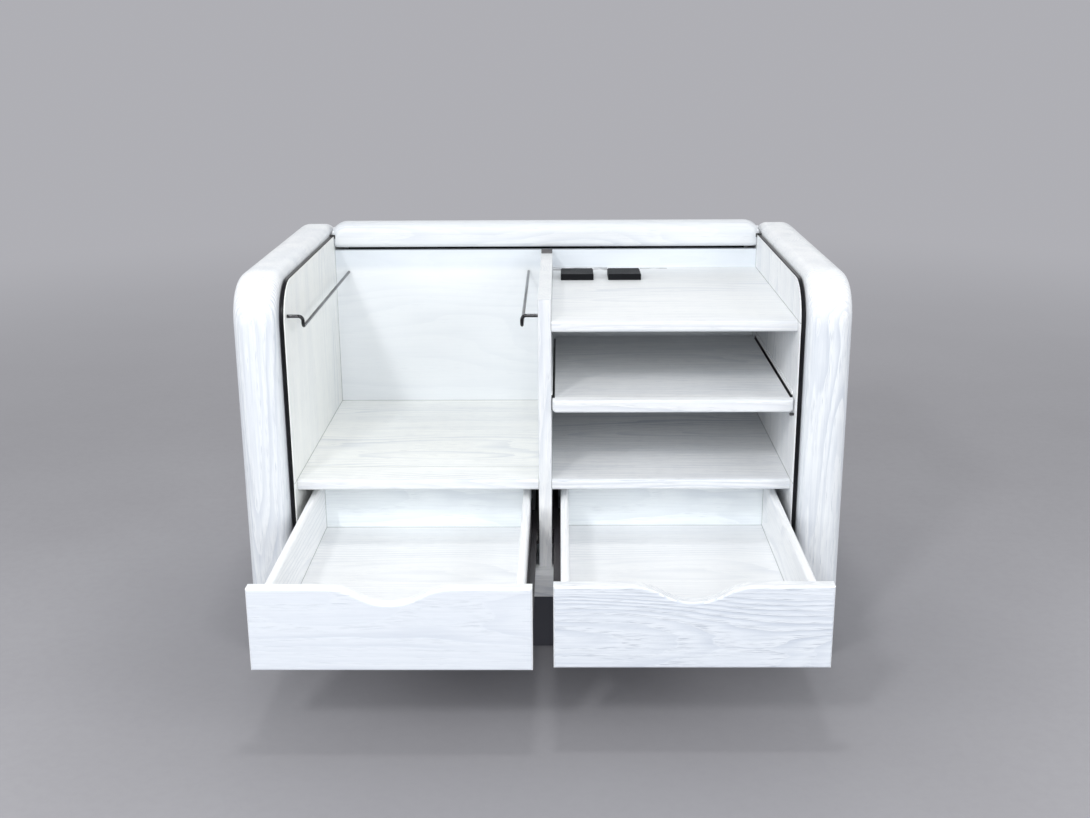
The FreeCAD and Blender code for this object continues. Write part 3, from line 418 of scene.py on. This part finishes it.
def dress_boards():
    """Each board has its own cut of the wood: the way its grain runs and how near the heart."""
    wall_left, wall_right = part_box("left_inner_wall")[1].x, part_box("right_inner_wall")[0].x
    divider_low, divider_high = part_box("divider")
    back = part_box("inner_back_panel")[0].y
    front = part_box("bay_floor")[0].y
    floor_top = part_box("bay_floor")[1].z
    shelf_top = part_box("right_top_shelf")[1].z
    pull_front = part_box("pull_out_shelf")[0].y
    panel_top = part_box("left_side_panel")[1].z
    # Painted shade: the front edges, lit straight on, get a darker wash.
    painted_shade_nosing = painted_shade_edge_zone(front)
    # Painted light: the side panels' tops get a paler wash.
    painted_light_crown = ("Z", panel_top - 80 * MM, panel_top - 14 * MM, PALE_AND_PAINTED_LIGHT_WASH)
    # Painted light: the divider's lower part, in the drawers' shade, gets a paler wash.
    painted_light_foot = ("Z", floor_top - 10 * MM, floor_top - 60 * MM, PAINTED_LIGHT_INSIDE_WASH)
    right_ends = [("X", divider_high.x), ("X", wall_right), ("Y", back)]
    cuts = {
        # the grain's axis, the heart's offset from the board's centre in mm, ring width in mm,
        # strength, wash, seams with its neighbours darkened as painted contact shade, zones of
        # painted light and shade with another wash
        "left_side_panel": ("z", (36, -40, 0), 4.6, 1.3, OUTSIDE_WASH, (), [painted_light_crown]),
        "right_side_panel": ("z", (-52, 30, 0), 4.2, 1.3, OUTSIDE_WASH, (), [painted_light_crown]),
        "left_inner_wall": ("z", (-90, 60, 0), 5.5, 0.8, WARM_PAINTED_LIGHT_WASH,
                            [("Y", back), ("Z", floor_top)], ()),
        "right_inner_wall": ("z", (120, -40, 0), 5.0, 1.0, PAINTED_LIGHT_INSIDE_WASH,
                             [("Y", back), ("Z", shelf_top), ("Z", floor_top)], ()),
        "divider": ("z", (70, 50, 0), 4.0, 1.0, PAINTED_SHADE_SHELF_WASH, [("Y", back)],
                    [painted_shade_nosing, painted_light_foot]),
        "bay_floor": ("x", (0, -60, -110), 6.0, 0.9, WARM_PAINTED_LIGHT_WASH,
                      [("X", wall_left), ("X", divider_low.x), ("Y", back),
                       ("Y", front + 60 * MM)], [painted_shade_nosing]),
        "right_lower_shelf": ("x", (0, 40, 90), 5.0, 1.2, PAINTED_LIGHT_INSIDE_WASH, right_ends, [painted_shade_nosing]),
        "right_top_shelf": ("x", (0, -30, 100), 5.6, 0.8, PAINTED_SHADE_SHELF_WASH, right_ends, [painted_shade_nosing]),
        "pull_out_shelf": ("x", (0, 50, -80), 5.2, 1.0, PAINTED_LIGHT_INSIDE_WASH,
                           [("Y", pull_front + 20 * MM)], [painted_shade_edge_zone(pull_front)]),
        "inner_back_panel": ("x", (0, 900, 300), 6.5, 0.2, BACK_WASH,
                             [("X", wall_left), ("X", wall_right), ("X", divider_low.x),
                              ("Z", floor_top)],
                             # Painted shadow: a darker band on the back at the top shelf's
                             # height.
                             [("Z", shelf_top - 8 * MM, shelf_top + 8 * MM, PAINTED_SHADOW_BACK_WASH)]),
        "outer_back_panel": ("z", (40, 80, 0), 5.5, 1.0, PALE_AND_PAINTED_LIGHT_WASH, (), ()),
        "bottom_board": ("x", (0, -30, -120), 5.5, 0.8, OUTSIDE_WASH, (), ()),
        "bottom_front_rail": ("x", (0, 50, -70), 3.8, 0.9, PALE_AND_PAINTED_LIGHT_WASH, (), ()),
        "curtain_bar": ("x", (0, 60, 30), 4.4, 0.65, PAINTED_SHADE_BAR_WASH, (), ()),
        "curtain_slats": ("x", (0, -160, 40), 5.0, 1.0, PALE_AND_PAINTED_LIGHT_WASH, (), ()),
        "left_drawer_front": ("x", (0, 45, 35), 5.4, 0.7, PALE_AND_PAINTED_LIGHT_WASH, (),
                              [drawer_face_zone("left_drawer_front")]),
        "right_drawer_front": ("x", (0, 38, -30), 3.2, 1.35, PALE_AND_PAINTED_LIGHT_WASH, (),
                               [drawer_face_zone("right_drawer_front")]),
    }
    for name, (along, offset, ring, strength, wash, shaded_seams, zones) in cuts.items():
        heart = centre(name) + Vector(offset)
        dress(whitewashed_ash(f"ash_{name}", along, heart, ring, strength, wash, shaded_seams, zones),
              name)
    for side in ("left", "right"):
        low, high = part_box(f"{side}_drawer_back")
        sides, rear, floor = [("X", low.x), ("X", high.x)], [("Y", low.y)], [("Z", low.z)]
        for piece, along, offset, wash, shaded_seams in (
            ("left_side", "y", (60, 0, -20), PAINTED_LIGHT_INSIDE_WASH, floor + rear),
            ("right_side", "y", (-70, 0, 26), PAINTED_LIGHT_INSIDE_WASH, floor + rear),
            ("back", "x", (0, 55, 14), DRAWER_BACK_PAINTED_LIGHT_WASH, floor + sides),
            ("floor", "x", (0, 20, -90), PAINTED_LIGHT_INSIDE_WASH, sides + rear),
        ):
            name = f"{side}_drawer_{piece}"
            heart = centre(name) + Vector(offset)
            dress(whitewashed_ash(f"ash_{name}", along, heart, 5.0, 0.6, wash, shaded_seams), name)


def dress_fittings():
    """The plastic, steel, chrome and cloth of everything that isn't wood."""
    dress(speckled("track_black", colour(0.008, 0.008, 0.010), colour(0.014, 0.014, 0.017),
                   0.30, 900.0, specular=0.12),
          "left_track", "right_track")
    dress(speckled("shoe_black", colour(0.020, 0.020, 0.022), colour(0.035, 0.035, 0.038),
                   0.42, 700.0),
          "bar_shoes", "floor_glides")
    dress(speckled("plinth_stain", colour(0.052, 0.054, 0.070), colour(0.070, 0.072, 0.088),
                   0.45, 500.0),
          "plinth")
    dress(speckled("runner_enamel", colour(0.030, 0.026, 0.031), colour(0.048, 0.041, 0.045),
                   0.36, 600.0),
          "left_cabinet_runners", "right_cabinet_runners", "left_drawer_rails",
          "right_drawer_rails")
    black, worn_black = colour(0.018, 0.018, 0.020), colour(0.030, 0.030, 0.032)
    dress(speckled("slide_enamel", black, worn_black, 0.4, 600.0), "pull_shelf_slides")
    shelf_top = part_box("pull_out_shelf")[1].z
    wall_paint = ("Z", shelf_top + 1.6 * MM, shelf_top + 2.2 * MM, PAINTED_LIGHT_INSIDE_WASH)
    dress(speckled("guide_enamel", black, worn_black, 0.4, 600.0, painted=wall_paint),
          "pull_shelf_guides")
    dress(speckled("roller_nylon", colour(0.74, 0.74, 0.70), colour(0.66, 0.66, 0.61),
                   0.40, 500.0),
          "left_cabinet_rollers", "right_cabinet_rollers", "left_drawer_rear_rollers",
          "right_drawer_rear_rollers")
    # Painted reflection: the chrome is darkened to stand in for the dark surroundings it
    # reflects.
    dress(speckled("rod_chrome", colour(0.050, 0.050, 0.053), colour(0.032, 0.032, 0.035),
                   0.11, 800.0, depth=0.02, metallic=1.0),
          "left_file_rod", "right_file_rod")
    dress(speckled("block_plastic", colour(0.005, 0.0055, 0.007), colour(0.010, 0.011, 0.013),
                   0.50, 500.0, specular=0.10),
          "left_shelf_block", "right_shelf_block")
    dress(curtain_canvas("curtain_canvas"), "curtain_cloth")


def curtain_canvas(name):
    """Plain-woven dark canvas: threads both ways, one over the other."""
    two_threads = 1.2 * MM
    finish = Finish(name)
    tree = finish.tree
    turn = 2 * math.pi / two_threads
    x, y, z = (coordinate(tree, finish.place, axis) for axis in "XYZ")
    along = calc(tree, "SINE", calc(tree, "MULTIPLY", x, turn))
    down = calc(tree, "SINE", calc(tree, "MULTIPLY", calc(tree, "ADD", y, z), turn))
    weave = calc(tree, "MULTIPLY", along, down)
    raised = ramp(tree, weave, -1.0, 1.0)
    lint = noise(tree, finish.place, 4.0, 0.6, scale=90.0)
    tone = mix(tree, raised, colour(0.025, 0.025, 0.028), colour(0.075, 0.075, 0.08))
    tone = mix(tree, ramp(tree, lint, 0.5, 0.9, 0.0, 0.5), tone, colour(0.16, 0.16, 0.165))
    finish.set(Base_Color=tone, Roughness=0.92)
    return finish.bump(raised, 0.6, 0.3 * MM).material


dress_boards()
dress_fittings()


# ------------------------------------------------------- pieces beside the CAD

def select_none():
    """Leaves every object unselected, because an operator acts on all that is selected."""
    bpy.ops.object.select_all(action="DESELECT")


def finish_piece(piece, name, material, body, angle=35):
    """Names a piece, puts its place into its mesh and lets it ride with a body, if it has one.

    Edges that turn by less than the angle in degrees are smooth."""
    piece.name = piece.data.name = name
    select_none()
    piece.select_set(True)
    bpy.context.view_layer.objects.active = piece
    bpy.ops.object.transform_apply(location=True, rotation=True, scale=True)
    bpy.ops.object.shade_smooth_by_angle(angle=math.radians(angle))
    piece.data.materials.clear()
    piece.data.materials.append(material)
    if body:
        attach(piece, body)


def bevelled_block(low, high, width, segments=3):
    """A block between two corners with every edge rounded."""
    low, high = Vector(low), Vector(high)
    select_none()
    bpy.ops.mesh.primitive_cube_add(size=1.0, location=(low + high) / 2)
    block = bpy.context.object
    block.scale = high - low
    bpy.ops.object.transform_apply(location=False, rotation=False, scale=True)
    bpy.ops.object.mode_set(mode="EDIT")
    bpy.ops.mesh.select_all(action="SELECT")
    bpy.ops.mesh.bevel(offset=width, segments=segments, affect="EDGES")
    bpy.ops.object.mode_set(mode="OBJECT")
    return block


def copy_piece(piece, name):
    """A second piece with its own mesh."""
    twin = piece.copy()
    twin.data = piece.data.copy()
    twin.name = twin.data.name = name
    bpy.context.scene.collection.objects.link(twin)
    return twin


# The slats that follow the lead bar along the straight top run of the tracks.
SLAT_COUNT = 19
SLAT_PITCH = 20.4 * MM
SLAT_WIDE = 20.0 * MM
SLAT_HALF = 365.5 * MM
SLAT_BOTTOM = 565.7 * MM
SLAT_TOP = 571.5 * MM
BAR_TRAVEL = 370.0 * MM
# The room inside the lead bar: how deep it is, and its rounded rear corners.
BAR_ROOM = 42.0 * MM
BAR_CORNER = 18.0 * MM
BAR_STRAIGHT_HALF = 347.5 * MM
# How often the search for an edge's place halves its step.
HALVINGS = 40
# A face looks along an axis when its normal's part on that axis is larger than this.
FACING = 0.9


def add_drawn_slats():
    """The slats that the lead bar draws out of the rear as the curtain closes.

    At rest they are drawn together inside the bar. Each edge waits where a shift by the bar's
    full travel, eased by its depth in the bar, takes it to its own place in the row, one slat
    every pitch."""
    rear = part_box("curtain_bar")[1].y
    front = rear - BAR_ROOM
    slat = bevelled_block((-SLAT_HALF, -SLAT_WIDE / 2, SLAT_BOTTOM),
                          (SLAT_HALF, SLAT_WIDE / 2, SLAT_TOP), 2.4 * MM, 2)

    def carried(place):
        share = (rear - place) / (rear - front)
        return place - BAR_TRAVEL * share * share * (3 - 2 * share)

    def waiting_place(target):
        low, high = front, rear
        for _ in range(HALVINGS):
            middle = (low + high) / 2
            low, high = (middle, high) if carried(middle) < target else (low, middle)
        return (low + high) / 2

    row = []
    for number in range(SLAT_COUNT):
        twin = copy_piece(slat, f"drawn_slat_{number}")
        centre_line = rear - (number + 0.5) * SLAT_PITCH
        for vertex in twin.data.vertices:
            y = waiting_place(centre_line + vertex.co.y)
            into_corner = min(max(0.0, y - (rear - BAR_CORNER)), BAR_CORNER)
            room = BAR_STRAIGHT_HALF + math.sqrt(BAR_CORNER ** 2 - into_corner ** 2)
            vertex.co.y = y
            if abs(vertex.co.x) > room:
                vertex.co.x = math.copysign(room, vertex.co.x)
        twin.location = (0, 0, twin.location.z)
        row.append(twin)
    bpy.data.objects.remove(slat)
    select_none()
    for twin in row:
        twin.select_set(True)
    bpy.context.view_layer.objects.active = row[0]
    bpy.ops.object.join()
    slats = bpy.context.object
    ash = whitewashed_ash("ash_drawn_slats", "x", (0, 400, 540), 5.0, 1.0, PALE_AND_PAINTED_LIGHT_WASH)
    finish_piece(slats, "drawn_slats", ash, None, 20)
    slats.data.materials.append(curtain_canvas("drawn_canvas"))
    for face in slats.data.polygons:
        if face.normal.z < -FACING:
            face.material_index = 1
    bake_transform(slats)


def add_small_fittings():
    """Dark felt on the divider's top as painted shade, grey marks on the top shelf and the
    pull-out shelf's stop.
    """
    # Painted shade: a dark felt pad on the divider's top stands in for the shade under the bar.
    shade_felt = speckled("shade_felt_grey", colour(0.10, 0.10, 0.105), colour(0.17, 0.165, 0.17), 0.95,
                    400.0, depth=0.6, specular=0.1)
    low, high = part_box("divider")
    pad = bevelled_block((low.x + 0.5 * MM, high.y - 39 * MM, high.z),
                         (high.x - 0.5 * MM, high.y - 9 * MM, high.z + 3 * MM), 0.8 * MM)
    finish_piece(pad, "divider_shade_felt", shade_felt, "carcass")

    # A grey strip and a grey streak on the top shelf.
    grey_mark = speckled("grey_mark_finish", colour(0.40, 0.40, 0.42), colour(0.80, 0.81, 0.82), 0.7,
                    2200.0, depth=0.5, specular=0.3)
    shelf_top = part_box("right_top_shelf")[1].z
    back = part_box("inner_back_panel")[0].y
    for name, left, right, front, deep in (
        ("grey_strip", high.x + 0.5 * MM, high.x + 94 * MM, back - 26 * MM, back - 0.5 * MM),
        ("grey_streak", high.x + 150 * MM, high.x + 196 * MM, back - 15 * MM, back - 8 * MM),
    ):
        strip = bevelled_block((left, front, shelf_top - 0.05 * MM),
                               (right, deep, shelf_top + 0.45 * MM), 0.2 * MM, 2)
        finish_piece(strip, name, grey_mark, "carcass")

    rubber = speckled("stop_rubber", colour(0.012, 0.012, 0.014), colour(0.030, 0.030, 0.033),
                      0.55, 700.0)
    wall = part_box("right_inner_wall")[0].x
    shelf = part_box("pull_out_shelf")[0]
    length = 6 * MM
    select_none()
    bpy.ops.mesh.primitive_cylinder_add(
        vertices=24, radius=2.2 * MM, depth=length,
        location=(wall - length / 2, shelf.y + 5 * MM, shelf.z - 3.6 * MM),
        rotation=(0, math.radians(90), 0))
    stop = bpy.context.object
    bpy.ops.object.mode_set(mode="EDIT")
    bpy.ops.mesh.select_all(action="SELECT")
    bpy.ops.mesh.bevel(offset=0.6 * MM, segments=2, affect="EDGES")
    bpy.ops.object.mode_set(mode="OBJECT")
    finish_piece(stop, "shelf_stop", rubber, "carcass")


def add_back_screws():
    """Screws round the edge of the outer back, each with a round recess in its raised head."""
    edge = 14 * MM
    steel = speckled("screw_zinc", colour(0.55, 0.55, 0.56), colour(0.40, 0.39, 0.38), 0.3,
                     900.0, depth=0.04, metallic=1.0)
    low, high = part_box("outer_back_panel")
    select_none()
    bpy.ops.mesh.primitive_cylinder_add(vertices=16, radius=3.6 * MM, depth=1.2 * MM,
                                        location=(0, high.y + 0.5 * MM, 0),
                                        rotation=(math.radians(-90), 0, 0))
    head = bpy.context.object
    bpy.ops.object.transform_apply(location=True, rotation=True, scale=True)
    bpy.ops.object.mode_set(mode="EDIT")
    bpy.ops.mesh.select_mode(type="FACE")
    bpy.ops.mesh.select_all(action="DESELECT")
    bpy.ops.object.mode_set(mode="OBJECT")
    for face in head.data.polygons:
        face.select = face.normal.y > FACING
    bpy.ops.object.mode_set(mode="EDIT")
    for thickness, depth in ((0.9, 0.35), (1.2, -0.1), (0.3, -0.9)):
        bpy.ops.mesh.inset(thickness=thickness * MM, depth=depth * MM)
    bpy.ops.object.mode_set(mode="OBJECT")
    places = []
    for share in (-0.96, -0.48, 0.0, 0.48, 0.96):
        places += [(share * high.x, low.z + edge), (share * high.x, high.z - edge)]
    for share in (0.35, 0.65):
        z = low.z + share * (high.z - low.z)
        places += [(-0.96 * high.x, z), (0.96 * high.x, z)]
    for number, (x, z) in enumerate(places):
        screw = copy_piece(head, f"back_screw_{number}")
        screw.location = (x, 0, z)
        finish_piece(screw, f"back_screw_{number}", steel, "carcass", 30)
    bpy.data.objects.remove(head)


add_drawn_slats()
add_small_fittings()
add_back_screws()


# ------------------------------------------------------------ view and lights

CAMERA_PLACE = (0.0266, -2.0805, 0.9169)
# How far the camera looks down, turns to the right and leans, in radians.
CAMERA_PITCH, CAMERA_YAW, CAMERA_ROLL = 0.288222, -0.012736, -0.005967
SENSOR_WIDTH = 36.0
FOCAL_LENGTH = 43.327
# Every lamp looks at this place.
LAMP_AIM = (0.0, -0.1, 0.3)
LAMPS = (
    # name, place, size, watts
    ("lamp_high", (-1.041, -2.676, 2.260), (0.36, 0.36), 27.0),
    ("softbox_left", (-2.273, -2.007, 1.499), (1.6, 1.4), 29.0),
    ("softbox_right", (2.273, -2.007, 1.499), (1.6, 1.4), 34.0),
    ("softbox_front", (0.05, -3.350, 1.520), (1.1, 1.7), 30.0),
    ("lamp_overhead", (0.0, -0.65, 3.0), (0.25, 0.25), 10.0),
    ("softbox_back", (0.0, 2.7, 2.0), (2.4, 1.0), 15.0),
)
BACKDROP_GREY = colour(0.43, 0.43, 0.46)


def add_camera():
    """A camera in front of the desk, a little to the right of its middle, looking down on it."""
    forward = Vector((math.sin(CAMERA_YAW) * math.cos(CAMERA_PITCH),
                      math.cos(CAMERA_YAW) * math.cos(CAMERA_PITCH), -math.sin(CAMERA_PITCH)))
    level = Vector((math.cos(CAMERA_YAW), -math.sin(CAMERA_YAW), 0.0))
    upward = level.cross(forward)
    right = math.cos(CAMERA_ROLL) * level + math.sin(CAMERA_ROLL) * upward
    up = math.cos(CAMERA_ROLL) * upward - math.sin(CAMERA_ROLL) * level
    lens = bpy.data.cameras.new("view")
    lens.sensor_width = SENSOR_WIDTH
    lens.lens = FOCAL_LENGTH
    camera = bpy.data.objects.new("view", lens)
    bpy.context.scene.collection.objects.link(camera)
    turn = Matrix((right, up, -forward)).transposed().to_4x4()
    camera.matrix_world = Matrix.Translation(CAMERA_PLACE) @ turn
    bpy.context.scene.camera = camera


def add_lights():
    """A small high lamp at the front left, soft boxes all round, and a small lamp overhead."""
    for name, place, size, watts in LAMPS:
        lamp = bpy.data.lights.new(name, "AREA")
        lamp.shape = "RECTANGLE"
        lamp.size, lamp.size_y = size
        lamp.energy = watts
        holder = bpy.data.objects.new(name, lamp)
        holder.location = place
        way = Vector(LAMP_AIM) - Vector(place)
        holder.rotation_euler = way.to_track_quat("-Z", "Y").to_euler()
        bpy.context.scene.collection.objects.link(holder)


def seen_directly(tree):
    """1 for the camera and for what mirrors and glass show, 0 for light on the desk."""
    paths = tree.nodes.new("ShaderNodeLightPath")
    seen = calc(tree, "MAXIMUM", paths.outputs["Is Camera Ray"], paths.outputs["Is Glossy Ray"])
    return calc(tree, "MAXIMUM", seen, paths.outputs["Is Transmission Ray"])


def choose_shader(tree, share, one, other, output):
    """Sends one shader to an output, with a share of another in it."""
    choose = tree.nodes.new("ShaderNodeMixShader")
    tree.links.new(share, choose.inputs["Fac"])
    tree.links.new(one, choose.inputs[1])
    tree.links.new(other, choose.inputs[2])
    tree.links.new(choose.outputs[0], tree.nodes[output].inputs["Surface"])


def add_world():
    """Even light from all round, in front of a grey backdrop."""
    world = bpy.data.worlds.new("studio")
    bpy.context.scene.world = world
    world.use_nodes = True
    tree = world.node_tree
    sky = tree.nodes["Background"]
    sky.inputs["Color"].default_value = colour(0.96, 0.98, 1.0)
    sky.inputs["Strength"].default_value = 0.50
    backdrop = tree.nodes.new("ShaderNodeBackground")
    backdrop.inputs["Color"].default_value = BACKDROP_GREY
    choose_shader(tree, seen_directly(tree), sky.outputs[0], backdrop.outputs[0], "World Output")


def add_floor():
    """A plain floor that keeps the desk's shadow, with painted shadow near the desk, and runs
    into the backdrop far from it.
    """
    select_none()
    bpy.ops.mesh.primitive_circle_add(vertices=96, radius=40.0, fill_type="NGON")
    floor = bpy.context.object
    floor.name = "studio_floor"
    finish = Finish("studio_floor")
    tree = finish.tree
    cloudy = noise(tree, finish.place, 4.0, 0.55, scale=3.0)
    grainy = noise(tree, finish.place, 4.0, 0.7, scale=60.0)
    tone = mix(tree, cloudy, colour(0.325, 0.318, 0.340), colour(0.375, 0.372, 0.395))
    tone = mix(tree, ramp(tree, grainy, 0.35, 0.7, 0.0, 0.12), tone, colour(0.25, 0.245, 0.26))
    # Painted shadow: the floor's colour darkens towards the place under the desk.
    from_desk = distance(tree, finish.place, (0.0, -0.25, 0.0))
    painted_shadow = ramp(tree, from_desk, 0.95, 0.35, 0.0, 0.45)
    finish.set(Base_Color=mix(tree, painted_shadow, tone, colour(0.20, 0.20, 0.215)), Roughness=0.75)
    glow = tree.nodes.new("ShaderNodeEmission")
    glow.inputs["Color"].default_value = BACKDROP_GREY
    far = ramp(tree, distance(tree, finish.place, (0.0, 0.0, 0.0)), 0.7, 4.0)
    share = calc(tree, "MULTIPLY", far, seen_directly(tree))
    choose_shader(tree, share, finish.shader.outputs[0], glow.outputs[0], "Material Output")
    floor.data.materials.append(finish.material)


add_camera()
add_lights()
add_world()
add_floor()
bpy.context.scene.view_settings.view_transform = "Standard"
